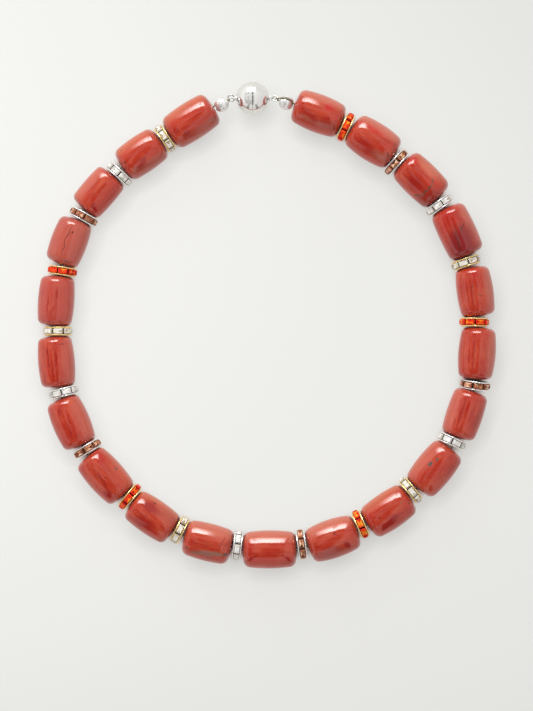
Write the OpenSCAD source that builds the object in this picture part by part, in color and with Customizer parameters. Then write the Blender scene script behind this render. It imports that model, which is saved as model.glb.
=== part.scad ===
// Gemstone necklace laid in a closed loop: barrel beads of red jasper with rhinestone
// rondelles between them, a magnetic ball clasp, and the rings and crimp covers that join
// the string to it. Millimetres, +Z up. The beads rest on the plane z = 0 and the origin
// is in the middle of the loop's own box.

/* [Beads] */
// Diameter of the hole drilled through each bead
bead_bore_d = 1.8; // [1.8:0.1:2.2]
// Gap left where a bead's end leans on a rondelle
seat_gap = 0.06; // [0.04:0.02:0.2]

/* [Rondelles] */
// Length of a rondelle along the string
rondelle_t = 2.8; // [2.6:0.1:3.2]
// Diameter of the two metal rims
rim_d = 8.7; // [8.4:0.1:8.9]
// Thickness of each rim
rim_t = 0.45; // [0.35:0.05:0.5]
// Diameter over the tables of the stones
stones_d = 9.3; // [9.1:0.1:9.5]
// Stones round each rondelle
stone_count = 8; // [7:1:9]
// Diameter of the hole through a rondelle
rondelle_bore_d = 2.6; // [2.6:0.1:3]

/* [Clasp] */
// Diameter of the magnetic ball
ball_d = 10.7; // [10.5:0.1:10.9]
// Width of the parting gap between the ball's halves
seam_gap = 0.1; // [0.06:0.02:0.2]
// Wire diameter of the loops and the jump rings
wire_d = 0.42; // [0.36:0.02:0.42]
// Outer diameter of the crimp covers
cover_d = 4.8; // [4.6:0.1:4.8]
// Wall thickness of the crimp covers
cover_wall = 0.4; // [0.3:0.05:0.5]

/* [Thread] */
// Diameter of the thread
thread_d = 0.5; // [0.4:0.05:0.5]

/* [Hidden] */

// One row for each bead, from the one left of the clasp round the bottom to the one right
// of it: heading of its axis in degrees, length, largest diameter, radius of the bulging
// side, and radius of the rounded corner at its first and at its last end.
HEADING = 0; LENGTH = 1; WIDTH = 2; BULGE = 3; FIRST = 4; LAST = 5;
BEADS = [
    [-147.0, 17.1, 12.3, 52, 2.3, 2.4],
    [-145.5, 15.3, 12.2, 47, 2.4, 2.4],
    [-131.0, 14.7, 11.4, 61, 1.6, 1.9],
    [-110.5, 15.6, 11.8, 39, 2.2, 2.3],
    [-94.0, 16.4, 11.8, 47, 2.0, 2.0],
    [-85.5, 16.7, 11.9, 43, 1.9, 2.0],
    [-67.0, 16.7, 12.2, 36, 2.1, 2.1],
    [-48.0, 17.4, 12.1, 40, 2.0, 2.0],
    [-34.5, 16.3, 11.8, 44, 2.0, 2.0],
    [-14.5, 16.0, 12.2, 49, 2.4, 2.4],
    [0.5, 17.6, 12.3, 51, 2.4, 2.4],
    [19.0, 16.9, 12.6, 32, 2.4, 2.4],
    [34.0, 16.5, 12.2, 43, 2.4, 2.4],
    [51.0, 17.0, 12.3, 41, 2.3, 2.4],
    [71.5, 16.0, 11.8, 52, 2.1, 2.1],
    [85.5, 17.0, 12.1, 39, 2.1, 2.1],
    [98.0, 16.3, 11.9, 41, 2.0, 2.1],
    [115.0, 17.3, 12.2, 67, 2.4, 2.4],
    [135.5, 16.5, 12.2, 55, 2.4, 2.3],
    [147.0, 16.6, 12.7, 34, 2.4, 2.4],
    [158.5, 16.6, 12.3, 36, 2.3, 2.3],
];

// One row for each rondelle, in the same order: how far its axis turns and leans away from
// the middle of its neighbours' headings, how far it is spun about the string, and how far
// it hangs towards the inside of the loop.
TURN = 0; LEAN = 1; SPIN = 2; INWARD = 3;
RONDELLES = [
    [0, 0, 12, 0.1], [6, 0, 21, 1.3], [2, 0, 16.5, 1.6], [4, 0, 40, 1.3],
    [0, 0, 41, 1.2], [0, 0, 29.5, 1.55], [-2, 0, 37, 1.5], [1.5, 0, 9, 1.3],
    [-3, 0, 38.5, 1.6], [0, 0, 14.5, 1.45], [-2, 0, 40.5, 1.6], [-2.5, 0, 38, 1.5],
    [-3.5, 0, 10.5, 1.6], [4.5, 0, 22.5, 1.25], [4, 5, 11, -0.25], [-2.5, 0, 24, 1.65],
    [2, 0, 31.5, 1.65], [0, 0, 35, 1.65], [-3.5, 0, 34, 1.55], [2, 0, 6, 0.85],
];

// The rondelles repeat in fours: metal, then colour of the stones
SETS = [["gold", "clear"], ["silver", "clear"], ["silver", "brown"], ["gold", "orange"]];

BEAD_COUNT = len(BEADS);
RONDELLE_COUNT = len(RONDELLES);

function numbered(name, k) = str(name, k < 9 ? "_0" : "_", k + 1);
BEAD_NAMES = [for (k = [0:BEAD_COUNT - 1]) numbered("bead", k)];
RONDELLE_NAMES = [for (k = [0:RONDELLE_COUNT - 1]) numbered("rondelle", k)];
STONE_NAMES = ["stones_clear_in_gold", "stones_clear_in_silver", "stones_brown", "stones_orange"];

JASPER = [0.72, 0.27, 0.22];
METALS = [["gold", [0.85, 0.68, 0.36]], ["silver", [0.82, 0.82, 0.84]]];
GEMS = [[0.92, 0.92, 0.9], [0.92, 0.92, 0.9], [0.55, 0.36, 0.25], [0.93, 0.33, 0.08]];
STEEL = [0.84, 0.84, 0.86];
THREAD = [0.36, 0.33, 0.26];
function metal_colour(k) = METALS[search([SETS[k % 4][0]], METALS)[0]][1];

// Radius of the shallow domes that the ends of the beads are
dome_r = 20;

// Sizes inside the rondelles
hub_r = 2.6;
bar_w = 0.3;
bar_reach = 0.55;
rim_edge = 0.1;
culet_gap = 0.15;
stone_gap = 0.06;
crown_h = 0.4;
table_share = 0.78;
corner_cut = 0.8;

// Sizes inside the clasp
seam_bevel = 0.15;
collar_r = 1.05;
collar_h = 0.15;
loop_r = 0.85;
loop_reach = 1.3;
cover_gap = 0.25;
cover_hole_r = 1;
slit_w = 0.9;
strand_clear = 0.04;

// The clasp's ends: the ring's outer diameter and its distance from the ball's pole, the
// twist of the loop and the ring about the clasp's axis, and the bend at the crimp cover
RING_D = 0; RING_STEP = 1; TWIST = 2; COVER_BEND = 3;
LEFT = [2.5, 1.55, 0, -11];
RIGHT = [2.3, 1.78, -30, 7];
// Radius at which the thread's last strand runs over the right crimp cover
strand_r = 2.5;

// How far shapes that are joined run into each other
lap = 0.3;
ball_r = ball_d / 2;
wire_r = wire_d / 2;
thread_r = thread_d / 2;
cover_r = cover_d / 2;
round_fn = 72;
arc_fn = 180;
wire_fn = 24;

function dir(h) = [cos(h), sin(h)];
function inward(h) = dir(h + 90);
function heading_of(v) = atan2(v.y, v.x);
function lift(p, z) = [p.x, p.y, z];

// Outline of a bead in its own plane: the side is an arc round (side_x, 0), each end is a
// shallow dome round (0, dome_z), and the corner between them is an arc that meets both.
// The corner stands proud of both by a hair, so that the outlines cross cleanly.
hair = 0.003;
function side_x(b) = b[WIDTH] / 2 - b[BULGE];
function dome_z(b) = b[LENGTH] / 2 - dome_r;
function corner_at(b, end) =
    let(from = [side_x(b), 0], to = [0, dome_z(b)],
        side = b[BULGE] - b[end] + hair, dome = dome_r - b[end],
        d = norm(to - from), u = (to - from) / d,
        along = (side * side - dome * dome + d * d) / (2 * d))
    from + along * u + sqrt(side * side - along * along) * [-u.y, u.x];

// Where the corner meets the side, along the axis, and where it meets the dome, off it
function meet_z(b, end) = corner_at(b, end).y * b[BULGE] / (b[BULGE] - b[end]);
function meet_r(b, end) = corner_at(b, end).x * dome_r / (dome_r - b[end]);

// Farthest reach of a bead's end in a direction that is `a` degrees off its axis
function end_reach(b, end, a) =
    let(c = corner_at(b, end))
    tan(a) * (c.y - dome_z(b)) < c.x
        ? dome_z(b) * cos(a) + dome_r
        : c.x * sin(a) + c.y * cos(a) + b[end];

// Farthest reach of a bead in a direction in the plane, from the bead's centre
function bead_reach(b, h) =
    let(a = acos(abs(cos(h - b[HEADING]))),
        end = cos(h - b[HEADING]) < 0 ? FIRST : LAST)
    cos(a) * (b[BULGE] - b[end]) < corner_at(b, end).y
        ? side_x(b) * sin(a) + b[BULGE]
        : end_reach(b, end, a);

// Axis of a rondelle, and its distance along the string from a neighbour's centre, where
// its leaning face just misses the bead's end
function rondelle_heading(k) =
    (BEADS[k][HEADING] + BEADS[k + 1][HEADING]) / 2 + RONDELLES[k][TURN];
function tilt_from(k, b) = acos(cos(b[HEADING] - rondelle_heading(k)) * cos(RONDELLES[k][LEAN]));
function seat(k, b, end) =
    let(t = tilt_from(k, b)) (rondelle_t / 2 + end_reach(b, end, t) + seat_gap) / cos(t);

// The string is walked bead by bead, then moved so that its box is centred
function next_rondelle(p, k) = p + seat(k, BEADS[k], LAST) * dir(BEADS[k][HEADING]);
function next_bead(p, k) =
    next_rondelle(p, k) + seat(k, BEADS[k + 1], FIRST) * dir(BEADS[k + 1][HEADING]);
walk = [
    for (k = 0, p = [0, 0]; k < BEAD_COUNT; p = k < RONDELLE_COUNT ? next_bead(p, k) : p, k = k + 1) p
];

// First and last bead's free ends on the walk, and the ball midway above them
last_bead = BEADS[BEAD_COUNT - 1];
start_end = walk[0] - BEADS[0][LENGTH] / 2 * dir(BEADS[0][HEADING]);
finish_end = walk[BEAD_COUNT - 1] + last_bead[LENGTH] / 2 * dir(last_bead[HEADING]);
clasp_rise = 2.3;
clasp_shift = -0.4;
walk_ball = (start_end + finish_end) / 2 + [clasp_shift, clasp_rise];

function walk_reach(h) = [
    for (k = [0:BEAD_COUNT - 1]) walk[k] * dir(h) + bead_reach(BEADS[k], h)
];
box_high = [max(walk_reach(0)), max(max(walk_reach(90)), walk_ball.y + ball_r)];
box_low = [-max(walk_reach(180)), -max(walk_reach(270))];
middle = (box_high + box_low) / 2;

BEAD_AT = [for (p = walk) p - middle];
STRING_AT = [for (k = [0:RONDELLE_COUNT - 1]) next_rondelle(walk[k], k) - middle];
RONDELLE_AT = [for (k = [0:RONDELLE_COUNT - 1])
    STRING_AT[k] + RONDELLES[k][INWARD] * inward(rondelle_heading(k))];
first_end = start_end - middle;
last_end = finish_end - middle;
ball_at = walk_ball - middle;

// Each bead lies on the surface, and a rondelle hangs midway between its two beads
function rest_z(k) = BEADS[k][WIDTH] / 2;
function rondelle_z(k) = (rest_z(k) + rest_z(k + 1)) / 2;

// Left end (side -1) and right end (side 1) of the clasp
function ring_r(e) = (e[RING_D] - wire_d) / 2;
function ring_at(e, side) = ball_at + [side * (ball_r + e[RING_STEP]), 0];
function cover_at(e, bead_end, side) =
    bead_end + (cover_r + cover_gap) * dir(heading_of(ring_at(e, side) - bead_end) + e[COVER_BEND]);
left_ring = ring_at(LEFT, -1);
right_ring = ring_at(RIGHT, 1);
left_cover = cover_at(LEFT, first_end, -1);
right_cover = cover_at(RIGHT, last_end, 1);
left_cover_h = heading_of(left_ring - first_end);
right_cover_h = heading_of(right_ring - last_end);
left_cover_z = (ball_r + rest_z(0)) / 2;
right_cover_z = (ball_r + rest_z(BEAD_COUNT - 1)) / 2;
left_climb = atan2(ball_r - left_cover_z, norm(left_ring - left_cover));
right_climb = atan2(ball_r - right_cover_z, norm(right_ring - right_cover));

// Puts a shape that is built round +Z on the string, with +Z along the heading and rising
// by `climb` degrees
module on_string(at, z, heading, climb = 0) {
    translate(lift(at, z)) rotate([0, 0, heading]) rotate([0, 90 - climb, 0]) children();
}

module rounded_end(b, end) {
    corner = corner_at(b, end);
    intersection() {
        translate([0, dome_z(b)]) circle(r = dome_r - hair, $fn = arc_fn);
        square([meet_r(b, end), b[LENGTH]]);
    }
    intersection() {
        translate(corner) circle(r = b[end], $fn = round_fn);
        translate([corner.x - lap, corner.y]) square([b[end] + lap, b[end]]);
    }
}

module bead_outline(b) {
    intersection() {
        translate([side_x(b), 0]) circle(r = b[BULGE], $fn = arc_fn);
        translate([0, -meet_z(b, FIRST)])
            square([b[WIDTH], meet_z(b, FIRST) + meet_z(b, LAST)]);
    }
    rounded_end(b, LAST);
    mirror([0, 1]) rounded_end(b, FIRST);
}

module bead(k) {
    color(JASPER)
        on_string(BEAD_AT[k], rest_z(k), BEADS[k][HEADING])
            difference() {
                rotate_extrude($fn = round_fn) bead_outline(BEADS[k]);
                cylinder(h = 2 * BEADS[k][LENGTH], d = bead_bore_d, center = true, $fn = round_fn);
            }
}

// Places a shape where a rondelle sits, spun by `turn` more degrees about the string
module at_rondelle(k, turn = 0) {
    translate(lift(RONDELLE_AT[k], rondelle_z(k)))
        rotate([0, -RONDELLES[k][LEAN], rondelle_heading(k)])
            rotate([RONDELLES[k][SPIN] + turn, 0, 0]) rotate([0, 90, 0]) children();
}

module rim() {
    r = rim_d / 2;
    rotate_extrude($fn = round_fn)
        polygon([[rondelle_bore_d / 2, 0], [r - rim_edge, 0], [r, rim_edge], [r, rim_t - rim_edge],
            [r - rim_edge, rim_t], [rondelle_bore_d / 2, rim_t]]);
}

// Two rims on a hub, joined between the stones by small bars
module setting() {
    translate([0, 0, -rondelle_t / 2]) rim();
    translate([0, 0, rondelle_t / 2 - rim_t]) rim();
    difference() {
        union() {
            cylinder(h = rondelle_t - rim_t, r = hub_r, center = true, $fn = round_fn);
            for (i = [0:stone_count - 1])
                rotate([0, 0, (i + 0.5) * 360 / stone_count])
                    translate([hub_r - lap, -bar_w / 2, -(rondelle_t - rim_t) / 2])
                        cube([rim_d / 2 - bar_reach - hub_r + lap, bar_w, rondelle_t - rim_t]);
        }
        cylinder(h = rondelle_t, d = rondelle_bore_d, center = true, $fn = round_fn);
    }
}

module rondelle(k) {
    color(metal_colour(k)) at_rondelle(k) setting();
}

// An eight-cornered brilliant whose table faces +X: a flat table, eight crown facets down
// to the girdle and eight pavilion facets down to the point
table_r = stones_d / 2;
girdle_r = table_r - crown_h;
half_pitch = 180 / stone_count;
stone_w = girdle_r * tan(half_pitch) - bar_w / 2 / cos(half_pitch) - stone_gap / cos(half_pitch);
stone_l = rondelle_t / 2 - rim_t - stone_gap;
function corners(x, share) = [
    for (c = [[1, corner_cut], [corner_cut, 1], [-corner_cut, 1], [-1, corner_cut],
            [-1, -corner_cut], [-corner_cut, -1], [corner_cut, -1], [1, -corner_cut]])
        [x, c.x * stone_w * share, c.y * stone_l * share]
];

module stone() {
    polyhedron(
        points = concat(corners(table_r, table_share), corners(girdle_r, 1),
            [[hub_r + culet_gap, 0, 0]]),
        faces = concat(
            [[7, 6, 5, 4, 3, 2, 1, 0]],
            [for (i = [0:7]) [i, (i + 1) % 8, (i + 1) % 8 + 8, i + 8]],
            [for (i = [0:7]) [i + 8, (i + 1) % 8 + 8, 16]]));
}

// All the stones of one colour and one metal, loose in their seats
module stones(kind) {
    color(GEMS[kind])
        for (k = [kind:4:RONDELLE_COUNT - 1])
            for (i = [0:stone_count - 1])
                at_rondelle(k) rotate([0, 0, i * 360 / stone_count]) stone();
}

module wire_ring(r) {
    rotate_extrude($fn = round_fn) translate([r, 0]) circle(r = wire_r, $fn = wire_fn);
}

// Half of the magnetic ball with its pole up: a bevelled parting edge, and at the pole a
// collar that carries the soldered loop
module clasp_half(twist) {
    edge = sqrt(pow(ball_r, 2) - pow(seam_gap / 2 + seam_bevel, 2));
    rotate_extrude($fn = round_fn)
        intersection() {
            circle(r = ball_r, $fn = arc_fn);
            polygon([[0, seam_gap / 2], [edge - seam_bevel, seam_gap / 2],
                [edge, seam_gap / 2 + seam_bevel], [ball_d, ball_r], [ball_d, ball_d],
                [0, ball_d]]);
        }
    translate([0, 0, ball_r - lap]) cylinder(h = lap + collar_h, r = collar_r, $fn = round_fn);
    translate([0, 0, ball_r + loop_reach - loop_r])
        rotate([0, 0, twist]) rotate([90, 0, 0]) wire_ring(loop_r);
}

module clasp_half_left() {
    color(STEEL) on_string(ball_at, ball_r, 180) clasp_half(LEFT[TWIST]);
}

module clasp_half_right() {
    color(STEEL) on_string(ball_at, ball_r, 0) clasp_half(RIGHT[TWIST]);
}

module jump_ring(e, at) {
    color(STEEL) translate(lift(at, ball_r)) rotate([e[TWIST], 0, 0]) wire_ring(ring_r(e));
}

// Hollow ball closed over the knot, with a hole at each pole and a slit on one side
module crimp_cover(slit_turn) {
    difference() {
        sphere(r = cover_r, $fn = round_fn);
        sphere(r = cover_r - cover_wall, $fn = round_fn);
        cylinder(h = 2 * cover_d, r = cover_hole_r, center = true, $fn = round_fn);
        rotate([0, 0, slit_turn])
            translate([0, -slit_w / 2, -cover_d]) cube([cover_d, slit_w, 2 * cover_d]);
    }
}

module crimp_cover_left() {
    color(STEEL) on_string(left_cover, left_cover_z, left_cover_h, left_climb) crimp_cover(0);
}

module crimp_cover_right() {
    color(STEEL)
        on_string(right_cover, right_cover_z, right_cover_h, right_climb)
            crimp_cover(180 - RIGHT[TWIST]);
}

// Route of the thread: out of the left cover round its jump ring, back through the beads
// and rondelles, round the right jump ring, over the right cover and into the last bead.
// It bends where the beads end, and follows a rondelle inwards as far as its hole asks.
// BEND and OVER are the angles at which its bends round a ring and over a cover are drawn.
BEND = [90:-30:-90];
OVER = [35:20:155];
tail_step = 0.35;
tail_in = 1.5;
bore_step = 0.28;
thread_gap = 0.05;
thread_play = rondelle_bore_d / 2 - thread_r - thread_gap;
bend_at = rondelle_t / 2 + 0.1;
function thread_bend(k, side) =
    STRING_AT[k] + max(0, RONDELLES[k][INWARD] - thread_play) * inward(rondelle_heading(k))
        + side * bend_at * dir(rondelle_heading(k));
function ring_way(e, h) = [cos(h), sin(h) * cos(e[TWIST]), sin(h) * sin(e[TWIST])];
function ring_up(e) = [0, -sin(e[TWIST]), cos(e[TWIST])];
function round_wire(e, at, h) =
    let(q = wire_r + thread_r + strand_clear)
    [for (a = BEND)
        lift(at, ball_r) + (q * cos(a) - ring_r(e)) * ring_way(e, h) + q * sin(a) * ring_up(e)];
function over_cover(e, at, z, h) =
    [for (a = OVER) lift(at, z) + strand_r * (cos(a) * lift(dir(h), 0) + sin(a) * ring_up(e))];
function reversed(list) = [for (i = [len(list) - 1:-1:0]) list[i]];
ROUTE = concat(
    [lift(left_cover, left_cover_z) + tail_step * ring_up(LEFT)],
    round_wire(LEFT, left_ring, heading_of(left_ring - left_cover)),
    [lift(left_cover, left_cover_z) - tail_step * ring_up(LEFT), lift(first_end, rest_z(0))],
    [for (k = [0:RONDELLE_COUNT - 1]) for (side = [-1, 1]) lift(thread_bend(k, side), rondelle_z(k))],
    [lift(last_end, rest_z(BEAD_COUNT - 1) - bore_step),
        lift(right_cover, right_cover_z) - tail_step * ring_up(RIGHT)],
    reversed(round_wire(RIGHT, right_ring, heading_of(right_ring - right_cover))),
    over_cover(RIGHT, right_cover, right_cover_z, right_cover_h),
    [lift(last_end, rest_z(BEAD_COUNT - 1) + bore_step),
        lift(last_end - tail_in * dir(last_bead[HEADING]), rest_z(BEAD_COUNT - 1) + bore_step)]);

// Sweeps an eight-sided section along a route: at each point the section's frame is
// carried on from the last one, square to the mean of the two directions
THREAD_SIDES = 8;
any_side = [0.1, 0.2, 1];
function unit(v) = v / norm(v);
function heading_at(route, i) =
    let(last = len(route) - 1)
    i == 0 ? unit(route[1] - route[0])
        : i == last ? unit(route[last] - route[last - 1])
        : unit(unit(route[i + 1] - route[i]) + unit(route[i] - route[i - 1]));
function square_to(v, along) = unit(v - (v * along) * along);
function carried(route) = [
    for (i = 0, u = square_to(any_side, heading_at(route, 0)); i < len(route);
        i = i + 1, u = i < len(route) ? square_to(u, heading_at(route, i)) : u) u
];
function section(route, i, u) =
    let(v = cross(heading_at(route, i), u))
    [for (s = [0:THREAD_SIDES - 1])
        route[i] + thread_r * (cos(s * 360 / THREAD_SIDES) * u + sin(s * 360 / THREAD_SIDES) * v)];

module sweep(route) {
    frames = carried(route);
    n = THREAD_SIDES;
    last = (len(route) - 1) * n;
    polyhedron(
        points = [for (i = [0:len(route) - 1]) each section(route, i, frames[i])],
        faces = concat(
            [[for (s = [0:n - 1]) s]],
            [for (i = [0:len(route) - 2]) for (s = [0:n - 1])
                each [[i * n + s, (i + 1) * n + s, i * n + (s + 1) % n],
                    [i * n + (s + 1) % n, (i + 1) * n + s, (i + 1) * n + (s + 1) % n]]],
            [[for (s = [n - 1:-1:0]) last + s]]));
}

module thread() {
    color(THREAD) sweep(ROUTE);
}

for (k = [0:BEAD_COUNT - 1])
    bead(k);
for (k = [0:RONDELLE_COUNT - 1])
    rondelle(k);
for (kind = [0:len(STONE_NAMES) - 1])
    stones(kind);
clasp_half_left();
clasp_half_right();
jump_ring(LEFT, left_ring);  // jump_ring_left
jump_ring(RIGHT, right_ring);  // jump_ring_right
crimp_cover_left();
crimp_cover_right();
thread();
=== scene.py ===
"""Looks of the gemstone necklace: jasper beads, rhinestone rondelles, a magnetic ball clasp."""

import bpy
import math
from collections import namedtuple
import numpy as np
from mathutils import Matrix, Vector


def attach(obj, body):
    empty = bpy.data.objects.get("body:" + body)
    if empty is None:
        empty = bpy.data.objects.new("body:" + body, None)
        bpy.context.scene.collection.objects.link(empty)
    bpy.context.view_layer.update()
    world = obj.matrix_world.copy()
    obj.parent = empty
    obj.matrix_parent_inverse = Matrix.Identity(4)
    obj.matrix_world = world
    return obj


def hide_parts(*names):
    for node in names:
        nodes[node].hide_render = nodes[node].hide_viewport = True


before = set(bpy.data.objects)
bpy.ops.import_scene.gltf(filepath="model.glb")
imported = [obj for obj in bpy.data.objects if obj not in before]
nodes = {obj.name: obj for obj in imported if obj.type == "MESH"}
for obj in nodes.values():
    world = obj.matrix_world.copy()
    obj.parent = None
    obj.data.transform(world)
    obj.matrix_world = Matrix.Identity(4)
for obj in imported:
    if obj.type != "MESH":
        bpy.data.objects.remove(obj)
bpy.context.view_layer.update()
MM = 0.001
PX = 0.32  # millimetres of the necklace to a pixel of the photograph
PHOTO_W, PHOTO_H = 533, 711
ORIGIN_X, ORIGIN_Y = 266.8, 325  # the pixel where the part's origin is seen

# The same sizes as in the part's source, in millimetres and degrees. `bulge` is the radius of
# a bead's side, and `first` and `last` are the radii of its corners, in the order of the walk
Bead = namedtuple("Bead", "heading length width bulge first last")
BEADS = [
    Bead(-147.0, 17.1, 12.3, 52, 2.3, 2.4),
    Bead(-145.5, 15.3, 12.2, 47, 2.4, 2.4),
    Bead(-131.0, 14.7, 11.4, 61, 1.6, 1.9),
    Bead(-110.5, 15.6, 11.8, 39, 2.2, 2.3),
    Bead(-94.0, 16.4, 11.8, 47, 2.0, 2.0),
    Bead(-85.5, 16.7, 11.9, 43, 1.9, 2.0),
    Bead(-67.0, 16.7, 12.2, 36, 2.1, 2.1),
    Bead(-48.0, 17.4, 12.1, 40, 2.0, 2.0),
    Bead(-34.5, 16.3, 11.8, 44, 2.0, 2.0),
    Bead(-14.5, 16.0, 12.2, 49, 2.4, 2.4),
    Bead(0.5, 17.6, 12.3, 51, 2.4, 2.4),
    Bead(19.0, 16.9, 12.6, 32, 2.4, 2.4),
    Bead(34.0, 16.5, 12.2, 43, 2.4, 2.4),
    Bead(51.0, 17.0, 12.3, 41, 2.3, 2.4),
    Bead(71.5, 16.0, 11.8, 52, 2.1, 2.1),
    Bead(85.5, 17.0, 12.1, 39, 2.1, 2.1),
    Bead(98.0, 16.3, 11.9, 41, 2.0, 2.1),
    Bead(115.0, 17.3, 12.2, 67, 2.4, 2.4),
    Bead(135.5, 16.5, 12.2, 55, 2.4, 2.3),
    Bead(147.0, 16.6, 12.7, 34, 2.4, 2.4),
    Bead(158.5, 16.6, 12.3, 36, 2.3, 2.3),
]
BORE_R, DOME_R, BORE_EASE = 0.9, 20, 0.12

# `hang` is how far a rondelle hangs towards the inside of the loop
Rondelle = namedtuple("Rondelle", "turn lean spin hang")
RONDELLES = [Rondelle(*row) for row in (
    (0, 0, 12, 0.1), (6, 0, 21, 1.3), (2, 0, 16.5, 1.6), (4, 0, 40, 1.3),
    (0, 0, 41, 1.2), (0, 0, 29.5, 1.55), (-2, 0, 37, 1.5), (1.5, 0, 9, 1.3),
    (-3, 0, 38.5, 1.6), (0, 0, 14.5, 1.45), (-2, 0, 40.5, 1.6), (-2.5, 0, 38, 1.5),
    (-3.5, 0, 10.5, 1.6), (4.5, 0, 22.5, 1.25), (4, 5, 11, -0.25), (-2.5, 0, 24, 1.65),
    (2, 0, 31.5, 1.65), (0, 0, 35, 1.65), (-3.5, 0, 34, 1.55), (2, 0, 6, 0.85),
)]
RONDELLE_T, RIM_D, RIM_T, RONDELLE_BORE_R, HUB_R = 2.8, 8.7, 0.45, 1.3, 2.6
STONES, TABLE_R, CROWN_H, GIRDLE_T, CULET_R = 8, 4.65, 0.4, 0.06, 2.75
STONE_GAP, BAR_W, BAR_REACH, TABLE_SHARE, CORNER_CUT = 0.06, 0.3, 0.55, 0.78, 0.8
BALL_R, SEAM_GAP, SEAM_BEVEL, COLLAR_R, COLLAR_H = 5.35, 0.1, 0.15, 1.05, 0.15
WIRE_R, LOOP_R, LOOP_REACH = 0.21, 0.85, 1.3
RING_D, TWIST = {"left": 2.5, "right": 2.3}, {"left": 0, "right": -30}
THREAD_R, STRAND_CLEAR, STRAND_R = 0.25, 0.04, 2.5
TAIL_STEP, TAIL_IN, BORE_STEP, THREAD_GAP, BEND_AT = 0.35, 1.5, 0.28, 0.05, 1.5


# Places

def points_of(node):
    """A CAD node's vertices in millimetres."""
    return np.array([v.co for v in nodes[node].data.vertices]) / MM


def middle_of(node):
    p = points_of(node)
    return (p.min(0) + p.max(0)) / 2


def direction(degrees):
    a = math.radians(degrees)
    return np.array([math.cos(a), math.sin(a), 0.0])


def turn_matrix(x, y, z):
    """Rotations about X, then Y, then Z, in degrees."""
    out = np.eye(3)
    for axis, a in ((0, x), (1, y), (2, z)):
        c, s = math.cos(math.radians(a)), math.sin(math.radians(a))
        i, j = (axis + 1) % 3, (axis + 2) % 3
        m = np.eye(3)
        m[i, i], m[i, j], m[j, i], m[j, j] = c, -s, s, c
        out = m @ out
    return out


def bead_axes(k):
    """Centre, and the axes along the walk, towards the outer side, and up."""
    u = direction(BEADS[k].heading)
    s, z = np.array([u[1], -u[0], 0.0]), np.array([0.0, 0.0, 1.0])
    p = points_of(f"bead_{k + 1:02d}")
    axes = np.array([u, s, z])
    q = p @ axes.T
    return axes.T @ ((q.min(0) + q.max(0)) / 2), axes


def rondelle_heading(k):
    return (BEADS[k].heading + BEADS[k + 1].heading) / 2 + RONDELLES[k].turn


def rondelle_axes(k):
    """Centre, and the matrix that sets a rondelle built round +Z in its place."""
    row = RONDELLES[k]
    placed = turn_matrix(0, -row.lean, rondelle_heading(k)) @ turn_matrix(row.spin, 0, 0)
    return middle_of(f"rondelle_{k + 1:02d}"), placed @ turn_matrix(0, 90, 0)


# Meshes

class Shape:
    """Vertices in millimetres, faces, and the values that the materials read: each vertex's
    place in its own piece, and each face's spark."""

    def __init__(self):
        self.verts, self.faces, self.local, self.spark = [], [], [], []
        self.n = 0

    def add(self, verts, faces, local=None, spark=0.0):
        verts = np.asarray(verts, float)
        self.verts.append(verts)
        self.local.append(verts if local is None else np.asarray(local, float))
        self.faces += [tuple(i + self.n for i in f) for f in faces]
        self.spark += list(spark) if hasattr(spark, "__len__") else [spark] * len(faces)
        self.n += len(verts)

    def build(self, name, materials, smooth=True, sharp=None):
        mesh = bpy.data.meshes.new(name)
        verts = np.concatenate(self.verts) * MM
        mesh.from_pydata(verts.tolist(), [], self.faces)
        mesh.validate()
        a = mesh.attributes.new("local_mm", "FLOAT_VECTOR", "POINT")
        a.data.foreach_set("vector", np.concatenate(self.local).astype(np.float32).ravel())
        b = mesh.attributes.new("spark", "FLOAT", "FACE")
        b.data.foreach_set("value", np.asarray(self.spark, np.float32))
        for m in materials:
            mesh.materials.append(m)
        mesh.shade_smooth() if smooth else mesh.shade_flat()
        if smooth and sharp:
            mesh.set_sharp_from_angle(angle=math.radians(sharp))
        mesh.update()
        obj = bpy.data.objects.new(name, mesh)
        bpy.context.scene.collection.objects.link(obj)
        return obj


def ring_faces(rings, n, closed=False):
    """Quads between rings of n vertices, the last ring joined to the first if closed."""
    out = []
    for j in range(rings if closed else rings - 1):
        a, b = j * n, (j + 1) % rings * n
        out += [(a + i, a + (i + 1) % n, b + (i + 1) % n, b + i) for i in range(n)]
    return out


def lathe(profile, n):
    """Turns a closed outline of (r, z) round +Z; every r is above 0."""
    a = np.arange(n) * 2 * math.pi / n
    verts = [(r * math.cos(t), r * math.sin(t), z) for r, z in profile for t in a]
    return np.array(verts), ring_faces(len(profile), n, closed=True)


def torus(ring_r, wire_r, n=64, m=20):
    out = [(ring_r + wire_r * math.cos(t), wire_r * math.sin(t))
           for t in np.arange(m) * 2 * math.pi / m]
    return lathe(out, n)


def arc(cx, cy, r, a0, a1, steps):
    """Points of an arc in degrees, both ends included."""
    return [(cx + r * math.cos(math.radians(a)), cy + r * math.sin(math.radians(a)))
            for a in np.linspace(a0, a1, steps)]


# Shader nodes

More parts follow.
